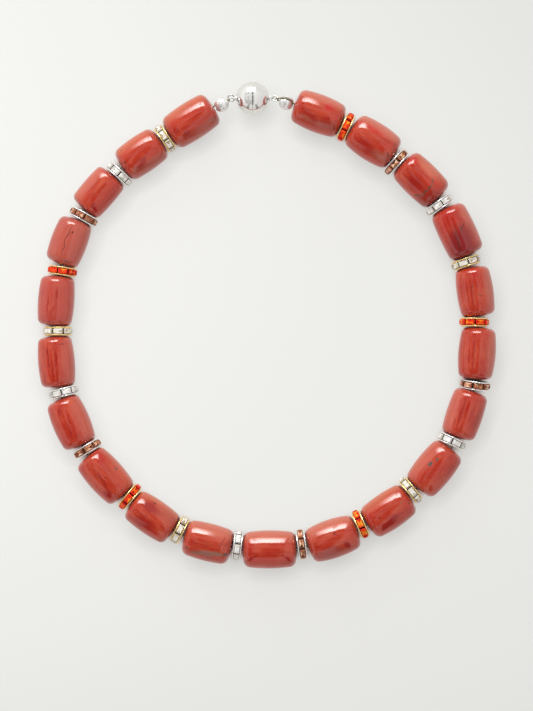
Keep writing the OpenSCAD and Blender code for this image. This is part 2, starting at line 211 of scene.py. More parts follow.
class Graph:
    """Short calls that add shader nodes to one tree."""

    def __init__(self, tree):
        self.tree = tree
        tree.nodes.clear()

    def add(self, kind, inputs=(), out=0, **settings):
        node = self.tree.nodes.new(kind)
        for key, value in settings.items():
            setattr(node, key, value)
        for key, value in dict(inputs).items():
            if isinstance(value, bpy.types.NodeSocket):
                self.tree.links.new(value, node.inputs[key])
            else:
                node.inputs[key].default_value = value
        return node.outputs[out] if out is not None else node

    def math(self, operation, a, b=0.0):
        return self.add("ShaderNodeMath", {0: a, 1: b}, operation=operation)

    def times(self, first, *others):
        """Product of sockets and numbers."""
        for other in others:
            first = self.math("MULTIPLY", first, other)
        return first

    def less(self, share, depth):
        """What is left of 1 where `share` takes away up to `depth` of it."""
        return self.math("SUBTRACT", 1.0, self.times(share, depth))

    def vector(self, operation, a, b=(0, 0, 0), out=0):
        return self.add("ShaderNodeVectorMath", {0: a, 1: b}, operation=operation, out=out)

    def step(self, value, lo, hi, to_lo=0.0, to_hi=1.0):
        """Smooth step of value from lo to hi."""
        return self.add("ShaderNodeMapRange", {0: value, 1: lo, 2: hi, 3: to_lo, 4: to_hi},
                        interpolation_type="SMOOTHSTEP")

    def band(self, value, lo, hi, soft):
        """1 between lo and hi and 0 beyond, with soft edges."""
        rise = self.step(value, lo - soft / 2, lo + soft / 2)
        fall = self.step(value, hi - soft / 2, hi + soft / 2, 1.0, 0.0)
        return self.times(rise, fall)

    def mix(self, share, a, b, blend="MIX"):
        node = self.add("ShaderNodeMix", (), None, data_type="RGBA", blend_type=blend)
        for i, value in ((0, share), (6, a), (7, b)):
            if isinstance(value, bpy.types.NodeSocket):
                self.tree.links.new(value, node.inputs[i])
            else:
                node.inputs[i].default_value = value if i == 0 else (*value[:3], 1)
        return node.outputs[2]

    def noise(self, where, scale, detail=2.0, rough=0.5, out=0, distort=0.0):
        return self.add("ShaderNodeTexNoise",
                        {"Vector": where, "Scale": scale, "Detail": detail, "Roughness": rough,
                         "Distortion": distort}, out=out)

    def attribute(self, name, out):
        return self.add("ShaderNodeAttribute", attribute_name=name, out=out)

    def local(self):
        """Place in the piece's own frame, in millimetres."""
        return self.attribute("local_mm", 1)

    def bump(self, height, strength, distance, normal=None):
        inputs = {"Strength": strength, "Distance": distance, "Height": height}
        if normal is not None:
            inputs["Normal"] = normal
        return self.add("ShaderNodeBump", inputs)


def new_material(name):
    material = bpy.data.materials.new(name)
    material.use_nodes = True
    return material, Graph(material.node_tree)


def finish_material(g, bsdf_inputs):
    shader = g.add("ShaderNodeBsdfPrincipled", bsdf_inputs)
    g.add("ShaderNodeOutputMaterial", {"Surface": shader}, out=None)


def from_photo(r, g, b):
    """A colour of 0 to 255 as it is seen, made linear."""
    return tuple(c / 12.92 if c <= 0.04045 else ((c + 0.055) / 1.055) ** 2.4
                 for c in (r / 255, g / 255, b / 255))


# Jasper beads

SIDE, CORNER, DOME, AROUND = 34, 10, 6, 96  # steps of a bead's outline and round its axis
DENT, DENT_FROM, DENT_BLEND = 0.006, 2, 3  # unevenness of the side, which fades out to the bore
BEAD_SHARP, RIM_SHARP, BALL_SHARP = 50, 35, 30  # edges past these angles stay sharp


def bead_profile(row):
    """Outline of a bead as (radius, place along the axis), from its first to its last end."""
    side_x, dome_z = row.width / 2 - row.bulge, row.length / 2 - DOME_R

    def rounded_end(c):
        """From the side to the bore: corner arc, dome arc, and the angle where the side stops."""
        side, dome, d = row.bulge - c, DOME_R - c, math.hypot(side_x, dome_z)
        ux, uz = -side_x / d, dome_z / d
        along = (side * side - dome * dome + d * d) / (2 * d)
        up = math.sqrt(side * side - along * along)
        x, z = side_x + along * ux - up * uz, along * uz + up * ux
        low = math.degrees(math.atan2(z, x - side_x))
        high = math.degrees(math.atan2(z - dome_z, x))
        stop = math.degrees(math.acos((BORE_R + BORE_EASE) / DOME_R))
        points = arc(x, z, c, low, high, CORNER) + arc(0, dome_z, DOME_R, high, stop, DOME)[1:]
        return points + [(BORE_R, points[-1][1] - BORE_EASE)], low

    first_end, first_low = rounded_end(row.first)
    last_end, last_low = rounded_end(row.last)
    side = arc(side_x, 0, row.bulge, -first_low, last_low, SIDE)
    return [(x, -z) for x, z in first_end[:0:-1]] + side + last_end[1:]


def build_bead(k, material):
    rng = np.random.default_rng(100 + k)
    centre, axes = bead_axes(k)
    profile = np.array(bead_profile(BEADS[k]))
    a = np.arange(AROUND) * 2 * math.pi / AROUND
    r, t = np.repeat(profile[:, 0], AROUND), np.repeat(profile[:, 1], AROUND)
    th = np.tile(a, len(profile))
    waves = np.zeros_like(r)
    for _ in range(6):
        waves += rng.uniform(0.4, 1) * np.cos(
            rng.integers(1, 4) * th + rng.uniform(-0.5, 0.5) * t + rng.uniform(0, 6.3))
    r = r + DENT * (waves - waves.max()) * np.clip((r - DENT_FROM) / DENT_BLEND, 0, 1)
    local = np.stack([t, r * np.cos(th), r * np.sin(th)], 1)
    shape = Shape()
    faces = [f[::-1] for f in ring_faces(len(profile), AROUND, closed=True)]
    shape.add(centre + local @ axes, faces, local=local)
    obj = shape.build(f"jasper_bead_{k + 1:02d}", [material], sharp=BEAD_SHARP)
    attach(obj, "root")
    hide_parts(f"bead_{k + 1:02d}")


# Colours of the stone as they are seen in the photo: its ground and what lies in it. The salmon
# and the haze tone are not in the stone: they are painted light on a bead's flank and painted
# reflection along its edge.
STONE, STONE_PALE, STREAK = (190, 53, 37), (205, 82, 59), (166, 34, 24)
PALE_LINE, GRAIN = (212, 92, 64), (205, 95, 75)
DARK, CRIMSON, WINE = (168, 18, 12), (168, 24, 18), (118, 24, 26)
MAROON, PLUM = (148, 36, 38), (146, 46, 48)
RED, VERMILION, BRICK = (190, 40, 26), (200, 40, 26), (160, 62, 52)
SCARLET, EMBER = (206, 52, 28), (206, 52, 26)
# the salmon tone is painted light on a bead's flank, not a colour of the stone
ORANGE, PAINTED_LIGHT_SALMON, APRICOT = (212, 96, 66), (214, 116, 98), (222, 122, 96)
# the haze tone is painted reflection along a bead's edge, not a colour of the stone
ROSE, DEEP_ROSE, DUSTY, PAINTED_REFLECTION_HAZE = (200, 104, 90), (198, 94, 84), (164, 80, 72), (172, 94, 80)
CLAY, OLIVE, LICHEN, SLATE = (146, 98, 78), (134, 96, 64), (106, 80, 66), (104, 92, 86)
DUSK, PIT = (112, 50, 42), (40, 30, 24)

# Marks of single beads, as (t, s, half length, half width, slant, colour, share) in pixels of
# the photo: t along the walk, s towards the outer side, slant from t to s in degrees. Most lie
# in the stone; the long salmon zones along a flank are painted light, and the haze zones along
# an edge are painted reflection.
MARKS = {
    1: [(11, -9, 5, 3.2, -25, DARK, 0.8), (18, -1, 4, 3, 20, DARK, 0.6), (0, -14, 34, 5, 0, PAINTED_REFLECTION_HAZE, 0.4),
        (-19, -11, 5, 4, 0, PAINTED_REFLECTION_HAZE, 0.6)],
    2: [(4.7, -8.5, 7.5, 3, -28, DARK, 0.75), (0, -14, 34, 5, 0, PAINTED_REFLECTION_HAZE, 0.4),
        (13, -10, 3.5, 2.5, 0, PAINTED_REFLECTION_HAZE, 0.7), (18, 1.4, 0.9, 0.8, 0, PIT, 0.9),
        (23, 6, 0.8, 0.7, 0, PIT, 0.6), (15, 14, 0.8, 0.7, 0, PIT, 0.6)],
    3: [(14.5, -7.2, 5, 2, -38, DARK, 0.85), (-2, 0.6, 14, 0.8, 0, DARK, 0.5),
        (-12, 3, 8, 4, 0, ORANGE, 0.5), (0, 13, 30, 6, 0, PAINTED_LIGHT_SALMON, 0.5)],
    4: [(0, -4, 60, 40, 0, ROSE, 0.55), (-10, -1, 0.9, 0.8, 0, PIT, 0.7),
        (-7, 2.6, 8, 0.6, 3, DUSK, 0.6), (7, 2, 8, 0.6, -7, DUSK, 0.6),
        (19, -4.5, 0.7, 3, 0, DUSK, 0.6)],
    5: [(0, 0, 60, 40, 0, DEEP_ROSE, 0.4), (-6, -1, 4.5, 0.7, 0, DARK, 0.6),
        (9, 2, 4.5, 0.9, 22, DARK, 0.6), (3.5, 7.4, 8, 0.9, 0, DARK, 0.5)],
    6: [(0, -13, 40, 8, 0, PAINTED_LIGHT_SALMON, 0.4), (-4, -0.7, 6.5, 0.7, 0, DARK, 0.75),
        (11, 3, 9.5, 1, 6, DARK, 0.75), (-3.5, 7, 13, 1, 0, DARK, 0.7),
        (-17.5, -7, 0.6, 3.5, 8, DUSK, 0.6)],
    7: [(0, -13, 40, 8, 0, PAINTED_LIGHT_SALMON, 0.4), (-4, 0, 5.5, 0.8, 0, DARK, 0.75),
        (8.5, 3.7, 8, 1, 13, DARK, 0.75), (-14, 6.4, 4, 0.9, 0, DARK, 0.7),
        (-20, -7, 4.5, 4, 0, ORANGE, 0.6)],
    8: [(2.4, -13, 1.5, 1.2, 0, SLATE, 0.85), (-3, 5.3, 1.3, 1, 0, SLATE, 0.7),
        (5, 5.5, 13, 1.8, 12, DARK, 0.6), (2, 0.8, 0.7, 0.6, 0, PIT, 0.7),
        (21, 5, 0.8, 0.7, 0, PIT, 0.7), (22, -2, 0.8, 0.6, 0, PIT, 0.6), (-16, -9, 7, 4, 10, RED, 0.6),
        (15, 11, 4.5, 3.2, -15, DARK, 0.75)],
    9: [(-7, -7.5, 10, 5.5, 6, CRIMSON, 0.85), (-4, 9, 12, 6.5, -4, DARK, 0.75),
        (14, -10, 14, 7, 0, PAINTED_REFLECTION_HAZE, 0.35), (-6, -12.5, 0.9, 0.8, 0, PIT, 0.7),
        (-6, 1, 0.7, 0.6, 0, PIT, 0.7)],
    10: [(4, 10, 18, 2.6, -10, CLAY, 0.7), (0, -13, 30, 7, 0, PAINTED_LIGHT_SALMON, 0.6),
         (14, -3, 0.6, 9, 14, DUSK, 0.45), (18, -2, 0.6, 9, 18, DUSK, 0.45),
         (20, 7, 1.6, 1.3, 0, PIT, 0.6), (-19, 10, 1.8, 1.4, 0, PIT, 0.55)],
    11: [(0, -14, 34, 7, 0, PAINTED_LIGHT_SALMON, 0.6), (5.5, 0, 5, 0.5, 0, DARK, 0.5),
         (-18, 8.5, 8, 1.2, -30, DARK, 0.75), (17, 9, 8, 1.2, 35, DARK, 0.75),
         (16.5, -8.5, 5, 1.2, -50, RED, 0.5), (-20, -3, 3, 8, 0, RED, 0.4)],
    12: [(3, -5, 0.8, 0.6, 0, PIT, 0.6), (3, -3.5, 0.7, 0.6, 0, PIT, 0.6),
         (12, 10, 3.4, 4.6, -15, DARK, 0.9), (0, 0, 12, 0.9, 5, DARK, 0.45),
         (0, -14, 34, 7, 0, PAINTED_LIGHT_SALMON, 0.5), (-8, 12, 17, 6, 4, DUSTY, 0.55),
         (-18, 3, 8, 0.9, -20, DARK, 0.45)],
    13: [(-5, 10, 11.5, 3.3, -12, DARK, 0.85), (16, -1, 0.9, 0.8, 0, OLIVE, 0.9),
         (21, 4, 0.8, 0.7, 0, PIT, 0.7), (11, 1, 0.7, 0.6, 0, PIT, 0.6),
         (-12, 0, 0.7, 0.6, 0, PIT, 0.6), (-19, -6, 3, 2.2, 0, RED, 0.7)],
    14: [(0, -14, 34, 7, 0, PAINTED_LIGHT_SALMON, 0.4), (1, -7, 3, 1.8, 15, SLATE, 0.85),
         (9, -4, 1.8, 1.2, 0, SLATE, 0.75), (-18.5, 9, 3.6, 0.6, -40, DARK, 0.7)],
    15: [(0, -14, 34, 7, 0, PAINTED_LIGHT_SALMON, 0.5), (-10.5, -8, 3, 0.7, 0, DARK, 0.55),
         (0, -4, 18, 1.3, 0, DARK, 0.45), (6.5, 0, 8, 0.7, 0, DARK, 0.5)],
    16: [(0, 14.5, 34, 6, 0, PAINTED_LIGHT_SALMON, 0.55), (-4, -8.6, 8.5, 0.8, 0, DARK, 0.5),
         (0, -4.3, 19, 1.2, 0, DARK, 0.45), (6.5, 0.5, 3, 0.6, 0, DARK, 0.5)],
    17: [(0, 14.5, 34, 6, 0, PAINTED_LIGHT_SALMON, 0.55), (-1, -8.6, 10.5, 0.8, 0, DARK, 0.5),
         (0, -4.8, 19, 1.1, 0, DARK, 0.4), (5, -3.8, 0.8, 0.7, 0, PIT, 0.7),
         (-4.6, 3.5, 0.5, 3, 20, DUSK, 0.5), (17, 2, 3.5, 3, 0, RED, 0.6)],
    18: [(4, 15, 30, 6, 0, PAINTED_LIGHT_SALMON, 0.6), (-13, -2, 22, 15, 25, PLUM, 0.85),
         (16, -3, 11, 9, 25, RED, 0.6), (2, 5.7, 4.6, 0.9, 47, DUSK, 0.7),
         (-11, -5, 13, 1.6, 12, WINE, 0.6), (4, 0, 14, 0.6, 0, DARK, 0.45)],
    19: [(-19, -9, 14, 13, 0, MAROON, 0.6), (-8.5, -13.5, 3.9, 0.7, 138, LICHEN, 0.85),
         (-11.7, -7, 4.4, 0.7, 97, LICHEN, 0.85), (-11.2, 0.3, 3.8, 0.7, 77, LICHEN, 0.85),
         (-8.7, 6.5, 3.9, 0.7, 60, LICHEN, 0.8), (1.5, -7.5, 11, 6.5, 2, DARK, 0.85),
         (18, 8, 4.5, 4.5, 40, EMBER, 0.7), (2, 12, 14, 5, 0, APRICOT, 0.6)],
    20: [(-13, -9, 13, 5, -8, PAINTED_REFLECTION_HAZE, 0.6), (-19.5, -4, 2.6, 0.8, 35, DUSK, 0.8),
         (4, 10, 10, 4, 0, SCARLET, 0.8), (4, -8, 11, 6, 8, DARK, 0.6), (0, 15, 34, 5, 0, PAINTED_LIGHT_SALMON, 0.6)],
    21: [(0, -10, 20, 4.6, 4, PAINTED_REFLECTION_HAZE, 0.6), (-11, -2, 2.2, 0.7, 60, DARK, 0.8),
         (-9, 9, 6.5, 4.6, -20, VERMILION, 0.85), (8, -5, 12, 3.6, 18, DARK, 0.7),
         (-14, -8, 11, 5, 0, BRICK, 0.6), (0, 15, 34, 5, 0, PAINTED_LIGHT_SALMON, 0.6)],
}

# A mark whose half width is over SOFT_FROM pixels has a soft edge, and a narrower one a firmer
# one, both as shares of its size. Marks go right through, and their edges wander, in millimetres
SOFT_FROM, SOFT_EDGE, FIRM_EDGE, MARK_GAIN = 3.5, (0.4, 1.35), (0.78, 1.16), 1.15
THROUGH, WANDER = 100, (1.5, 1.5, 0)

# Painted light: how far the flank of a bead that faces +Y, towards the window, goes over to
# pale orange, on most beads and on those that differ
PAINTED_FLANK_LIGHT, PAINTED_FLANK_LIGHT_OF = 0.85, {3: 0.7, 16: 0.6, 17: 0.4, 18: 0.2}
PAINTED_FLANK_TONE, FLANK_FROM, FLANK_TO, FLANK_R = (0.64, 0.15, 0.068), 0.3, 0.85, 5.8

# The light on the stone, what its gloss adds, and the least that is left of red, green and blue
LIGHT, GLOSS, LEAST = 1.04, 0.018, (0.012, 0.008, 0.002)

# The polish eases a bead's side over into its ends and leaves it a little uneven, in millimetres
EASE_FROM, EASE_R, UNEVEN = 4.2, 14, 0.04


def in_stone(r, g, b):
    """Colour of the stone that is seen as the given one under this light and its gloss."""
    return tuple(max(c / LIGHT - GLOSS, least) for c, least in zip(from_photo(r, g, b), LEAST))


def ground_colour(g, place, grain):
    """Cloudy paler zones with darker streaks and pale lines along the bead, and fine grain."""
    stretched = g.vector("MULTIPLY", place, (0.15, 1.0, 1.0))
    streak = g.step(g.noise(stretched, 0.6, 3, 0.55, distort=0.5), 0.48, 0.68)
    line = g.step(g.noise(stretched, 1.9, 2, 0.6, distort=0.7), 0.4, 0.66)
    cloud = g.step(g.noise(place, 0.17, 3, 0.55), 0.38, 0.66)
    colour = g.mix(g.times(cloud, 0.7), in_stone(*STONE), in_stone(*STONE_PALE))
    colour = g.mix(g.times(streak, 0.62), colour, in_stone(*STREAK))
    colour = g.mix(g.times(line, 0.3), colour, in_stone(*PALE_LINE))
    return g.mix(g.step(grain, 0.3, 0.7, 0.0, 0.14), colour, in_stone(*GRAIN))


def with_painted_flank_light(g, k, local, colour):
    """Painted light: the side that faces +Y, towards the window, gone over to pale orange."""
    across = -math.cos(math.radians(BEADS[k].heading)) / FLANK_R
    side = g.vector("DOT_PRODUCT", local, (0, across, 0), out=1)
    share = g.step(side, FLANK_FROM, FLANK_TO, 0.0, PAINTED_FLANK_LIGHT_OF.get(k + 1, PAINTED_FLANK_LIGHT))
    return g.mix(share, colour, PAINTED_FLANK_TONE)


def with_marks(g, k, local, place, colour):
    """The bead's marks, with edges that wander a little: marks in the stone, painted light along a
    flank and painted reflection along an edge.
    """
    wander = g.vector("SUBTRACT", g.noise(place, 0.55, 2, out=1), (0.5, 0.5, 0.5))
    warped = g.vector("ADD", local, g.vector("MULTIPLY", wander, WANDER))
    for t, side, half_t, half_s, slant, tone, share in MARKS[k + 1]:
        spot = g.add("ShaderNodeMapping", {0: warped, 1: (t * PX, side * PX, 0),
                                           2: (0, 0, math.radians(slant)),
                                           3: (half_t * PX, half_s * PX, THROUGH)},
                     vector_type="TEXTURE")
        start, end = SOFT_EDGE if half_s > SOFT_FROM else FIRM_EDGE
        reach = g.vector("LENGTH", spot, out=1)
        inside = g.step(reach, start, end, min(1.0, share * MARK_GAIN), 0.0)
        colour = g.mix(inside, colour, in_stone(*tone))
    return colour


def polished_normal(g, k, local, place, grain):
    """Sides that ease over into the ends, a little uneven, with the finest grain on top."""
    along = g.math("ABSOLUTE", g.add("ShaderNodeSeparateXYZ", {0: local}, out=0))
    past = g.math("MAXIMUM", g.math("SUBTRACT", along, BEADS[k].length / 2 - EASE_FROM), 0.0)
    ease = g.times(past, past, -0.5 / EASE_R)
    height = g.math("ADD", ease, g.times(g.noise(place, 0.3, 1), UNEVEN))
    return g.bump(grain, 0.03, 0.0002, g.bump(height, 1.0, MM))


def jasper(k):
    """Polished red jasper, each bead with a ground and marks of its own, some of them painted light
    and painted reflection, and painted light on the flank that faces the window.
    """
    rng = np.random.default_rng(500 + k)
    material, g = new_material(f"jasper_{k + 1:02d}")
    local = g.local()
    place = g.vector("ADD", local, tuple(rng.uniform(-50, 50, 3)))
    grain = g.noise(place, 3.2, 2, 0.6)
    # painted light on the flank that faces the window, laid over the stone's ground
    colour = with_painted_flank_light(g, k, local, ground_colour(g, place, grain))
    colour = with_marks(g, k, local, place, colour)
    rough = g.step(g.noise(place, 0.5, 2), 0.3, 0.7, 0.08, 0.13)
    finish_material(g, {"Base Color": colour, "Roughness": rough, "IOR": 1.57,
                        "Normal": polished_normal(g, k, local, place, grain),
                        "Sheen Weight": 0.12, "Sheen Roughness": 0.4})
    return material


for k in range(len(BEADS)):
    build_bead(k, jasper(k))


# Metals

RECESS_SHADE_FROM, RECESS_SHADE_TO = 3.84, 4.0  # radii between which the painted shade in the recesses under the stones ends
FACING_FROM, FACING_TO = 0.04, 0.3  # where a metal's `centre` goes over into its mirror


def metal(name, colour, tint, rough, scale, mirror, recess_shade=None, centre=None):
    """Polished metal with faint tarnish and fine scratches, scale in features a millimetre. The
    recess colour, if given, is painted shade in the recesses between a rondelle's stones, inside
    its rims' edges, and `centre` how much of a mirror the metal is where it faces the eye."""
    material, g = new_material(name)
    if recess_shade:
        place = g.local()
    else:
        place = g.vector("SCALE", g.add("ShaderNodeTexCoord", out=3))
        place.node.inputs["Scale"].default_value = 1 / MM
    cloud = g.noise(place, scale, 3, 0.6)
    fine = g.noise(g.vector("MULTIPLY", place, (6, 1, 6)), scale * 4, 2)
    tone = g.mix(g.step(cloud, 0.35, 0.75), colour, tint)
    # painted shade: where a recess colour is given, the metal inside the rims' edges, between the
    # stones, takes it
    if recess_shade:
        reach = g.vector("LENGTH", g.vector("MULTIPLY", place, (1, 1, 0)), out=1)
        tone = g.mix(g.step(reach, RECESS_SHADE_FROM, RECESS_SHADE_TO, 1.0, 0.0), tone, recess_shade)
    if centre:
        facing = g.add("ShaderNodeLayerWeight", {"Blend": 0.5}, out=1)
        mirror = g.step(facing, FACING_FROM, FACING_TO, centre, mirror)
    finish_material(g, {"Base Color": tone, "Metallic": mirror,
                        "Roughness": g.step(cloud, 0.3, 0.7, *rough),
                        "Normal": g.bump(fine, 0.06, 0.00005)})
    return material


GOLD = metal("gold_plate", (1.0, 0.79, 0.36), (0.94, 0.62, 0.2), rough=(0.3, 0.42), scale=0.9,
             mirror=0.75, recess_shade=(0.05, 0.022, 0.006))
SILVER = metal("silver_plate", (0.98, 0.97, 0.95), (0.84, 0.82, 0.79), rough=(0.22, 0.34),
               scale=0.9, mirror=0.7, recess_shade=(0.07, 0.055, 0.045))
STEEL = metal("mirror_steel", (0.84, 0.825, 0.8), (0.78, 0.765, 0.74), rough=(0.012, 0.03),
              scale=0.4, mirror=0.84, centre=0.42)
SATIN = metal("satin_steel", (0.86, 0.845, 0.82), (0.8, 0.785, 0.76), rough=(0.2, 0.28),
              scale=0.8, mirror=0.55)
STEEL_WIRE = metal("steel_wire", (0.56, 0.53, 0.49), (0.42, 0.39, 0.35), rough=(0.16, 0.26),
                   scale=1.2, mirror=0.7)


# Rondelles

# Rounding of a rim's edges as a share of its thickness, and how far hub and bars lap into
# what they join. A bar's tip is rounded: drop from the tip, and share of half the bar's width
RIM_ROUND, HUB_LAP, BAR_ROOT = 0.42, 0.02, 0.1
BAR_EASE, BAR_CREST = (0.15, 1.0), (0.04, 0.7)


def rim_profile(z0, z1):
    """A rim with rounded edges, as a closed outline of (r, z)."""
    r, e = RIM_D / 2, (z1 - z0) * RIM_ROUND
    return ([(RONDELLE_BORE_R, z0), (HUB_R, z0)] + arc(r - e, z0 + e, e, -90, 0, 6)
            + arc(r - e, z1 - e, e, 0, 90, 6) + [(HUB_R, z1), (RONDELLE_BORE_R, z1)])


def bar_outline():
    """Section of a bar across the rondelle, as (radius, share of half its width)."""
    tip, root = RIM_D / 2 - BAR_REACH, HUB_R - BAR_ROOT
    rise = [(tip - drop, -share) for drop, share in (BAR_EASE, BAR_CREST)]
    return [(root, -1)] + rise + [(tip, 0)] + [(r, -share) for r, share in rise[::-1]] + [(root, 1)]


def build_rondelle(k, material):
    at, m = rondelle_axes(k)
    shape = Shape()
    half = RONDELLE_T / 2
    inner = half - RIM_T + HUB_LAP

    def put(verts, faces):
        shape.add(at + np.asarray(verts) @ m.T, faces, local=verts)

    for z0, z1 in ((-half, -half + RIM_T), (half - RIM_T, half)):
        put(*lathe(rim_profile(z0, z1), 96))
    hub = [(RONDELLE_BORE_R, -inner), (HUB_R, -inner), (HUB_R, inner), (RONDELLE_BORE_R, inner)]
    put(*lathe(hub, 48))
    outline = bar_outline()
    n = len(outline)
    sides = [(j, (j + 1) % n, (j + 1) % n + n, j + n) for j in range(n)]
    ends = [tuple(range(n - 1, -1, -1)), tuple(range(n, 2 * n))]
    bar = np.array([(x, y * BAR_W / 2, z) for z in (-inner, inner) for x, y in outline])
    for i in range(STONES):
        put(bar @ turn_matrix(0, 0, (i + 0.5) * 360 / STONES).T, sides + ends)
    obj = shape.build(f"rondelle_setting_{k + 1:02d}", [material], sharp=RIM_SHARP)
    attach(obj, "root")
    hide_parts(f"rondelle_{k + 1:02d}")


for k in range(len(RONDELLES)):
    gold = k % 4 in (0, 3)
    build_rondelle(k, GOLD if gold else SILVER)


# Stones

TONE_STOPS = (0.0, 0.3, 0.7, 1.0)
FIRE, FIRE_SCALE = 0.22, 2.8  # strength of the small patches of painted reflected light, patches a mm

# A facet's spark, its painted sparkle, is a level with a random spread: the table's facets take
# turns in pairs between a high and a low level, and the crown's have four levels in turn
TABLE_SPARK, TABLE_CONTRAST, TABLE_SPREAD = 0.76, 0.48, 0.24
CROWN_SPARKS, CROWN_SPREAD, SIDE_SPARK = (0.55, 0.12, 0.55, 0.2), 0.2, 0.25

# The orange stones are lighter from the tenth rondelle on, and a little darker before it
ORANGE_KIND, LIGHTER_FROM, LIGHTER, DARKER = 3, 9, 0.18, -0.08


def gem(name, *tones):
    """Foil-backed cut glass with painted sparkle: a facet's spark picks its tone, from the darkest
    to the brightest, and patches of painted reflected light lie over it.
    """
    material, g = new_material(name)
    ramp = g.add("ShaderNodeValToRGB", {0: g.attribute("spark", 2)}, out=None)
    stops = ramp.color_ramp.elements
    for at in TONE_STOPS[1:-1]:
        stops.new(at)
    for stop, tone in zip(stops, tones):
        stop.color = (*from_photo(*tone), 1)
    patches = g.add("ShaderNodeTexVoronoi", {"Vector": g.local(), "Scale": FIRE_SCALE}, out=1)
    shade = g.mix(FIRE, ramp.outputs[0], patches, "OVERLAY")
    finish_material(g, {"Base Color": shade, "Metallic": 0.05, "Roughness": 0.4, "IOR": 1.3,
                        "Coat Weight": 0.05, "Coat Roughness": 0.1})
    return material


# Name, node, slot and material, in the order in which the kinds repeat along the string
GEMS = [
    ("clear_stones_in_gold", "stones_clear_in_gold", "clear_stone",
     gem("clear_glass_warm", (172, 154, 122), (228, 220, 202), (248, 244, 234), (255, 254, 250))),
    ("clear_stones_in_silver", "stones_clear_in_silver", "clear_stone",
     gem("clear_glass", (182, 174, 166), (226, 222, 216), (243, 241, 237), (252, 252, 251))),
    ("brown_stones", "stones_brown", "brown_stone",
     gem("brown_glass", (92, 44, 28), (158, 92, 62), (206, 138, 100), (244, 205, 172))),
    ("orange_stones", "stones_orange", "orange_stone",
     gem("orange_glass", (186, 14, 4), (234, 40, 12), (250, 78, 12), (255, 158, 24))),
]


def stone_shape():
    """One brilliant with its table to +X: vertices, faces, and each face's kind and corner."""
    girdle_r = TABLE_R - CROWN_H
    half = math.radians(180 / STONES)
    half_w = girdle_r * math.tan(half) - (BAR_W / 2 + STONE_GAP) / math.cos(half)
    half_l = RONDELLE_T / 2 - RIM_T - STONE_GAP
    c = CORNER_CUT
    ring = [(1, c), (c, 1), (-c, 1), (-1, c), (-1, -c), (-c, -1), (c, -1), (1, -c)]

    def corners(x, share):
        return [(x, a * half_w * share, b * half_l * share) for a, b in ring]

    verts = (corners(TABLE_R, TABLE_SHARE) + corners(girdle_r, 1)
             + corners(girdle_r - GIRDLE_T, 1) + [(CULET_R, 0, 0), (TABLE_R, 0, 0)])
    n = len(ring)
    culet, middle = 3 * n, 3 * n + 1
    faces, kinds = [], []
    for i in range(n):
        j = (i + 1) % n
        faces += [(middle, i, j), (i, i + n, j + n, j), (i + n, i + 2 * n, j + 2 * n, j + n),
                  (i + 2 * n, culet, j + 2 * n)]
        kinds += [("table", i), ("crown", i), ("girdle", i), ("pavilion", i)]
    return np.array(verts), faces, kinds


def build_stones(kind, name, node, material):
    rng = np.random.default_rng(40 + kind)
    verts, faces, kinds = stone_shape()
    shape = Shape()
    for k in range(kind, len(RONDELLES), 4):
        at, m = rondelle_axes(k)
        shift = 0.0
        if kind == ORANGE_KIND:
            shift = LIGHTER if k >= LIGHTER_FROM else DARKER
        for i in range(STONES):
            tilt = rng.integers(0, 2)
            spark = []
            for part, j in kinds:
                if part == "table":
                    level = TABLE_SPARK - TABLE_CONTRAST * ((j // 2 + tilt) % 2) + shift
                    spark.append(np.clip(level + rng.normal(0, TABLE_SPREAD), 0, 1))
                elif part == "crown":
                    spark.append(np.clip(CROWN_SPARKS[j % 4] + rng.normal(0, CROWN_SPREAD), 0, 1))
                else:
                    spark.append(SIDE_SPARK)
            q = verts @ turn_matrix(0, 0, i * 360 / STONES).T
            shape.add(at + q @ m.T, faces, local=q + (0, 0, 4 * k), spark=spark)
    obj = shape.build(name, [material], smooth=False)
    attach(obj, "root")
    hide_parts(node)


for kind, (name, node, slot, material) in enumerate(GEMS):
    build_stones(kind, name, node, material)


# Clasp

halves = {side: points_of(f"clasp_half_{side}") for side in ("left", "right")}
ball_at = (np.minimum(halves["left"].min(0), halves["right"].min(0))
           + np.maximum(halves["left"].max(0), halves["right"].max(0))) / 2
ball_at[0] = (halves["left"][:, 0].max() + halves["right"][:, 0].min()) / 2
ball_at[2] = BALL_R
ring_at = {side: middle_of(f"jump_ring_{side}") for side in RING_D}
cover_at = {side: middle_of(f"crimp_cover_{side}") for side in RING_D}
AXIS_R, COLLAR_BEVEL = 0.02, 0.05


def build_half(side, heading):
    """Half of the ball with its collar and its loop, built round +Z and turned to the heading."""
    edge = math.sqrt(BALL_R**2 - (SEAM_GAP / 2 + SEAM_BEVEL) ** 2)
    low = math.degrees(math.atan2(SEAM_GAP / 2 + SEAM_BEVEL, edge))
    top = math.degrees(math.acos(COLLAR_R / BALL_R))
    high = BALL_R + COLLAR_H
    profile = ([(AXIS_R, SEAM_GAP / 2), (edge - SEAM_BEVEL, SEAM_GAP / 2)]
               + arc(0, 0, BALL_R, low, top, 60)
               + [(COLLAR_R, high - COLLAR_BEVEL), (COLLAR_R - COLLAR_BEVEL, high), (AXIS_R, high)])
    shape = Shape()
    m = turn_matrix(0, 90, heading)
    verts, faces = lathe(profile, 128)
    shape.add(ball_at + verts @ m.T, faces, local=verts)
    verts, faces = torus(LOOP_R, WIRE_R)
    verts = verts @ (turn_matrix(0, 0, TWIST[side]) @ turn_matrix(90, 0, 0)).T
    verts = verts + (0, 0, BALL_R + LOOP_REACH - LOOP_R)
    shape.add(ball_at + verts @ m.T, faces, local=verts)
    obj = shape.build(f"magnetic_ball_{side}", [STEEL], sharp=BALL_SHARP)
    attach(obj, "root")
    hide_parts(f"clasp_half_{side}")


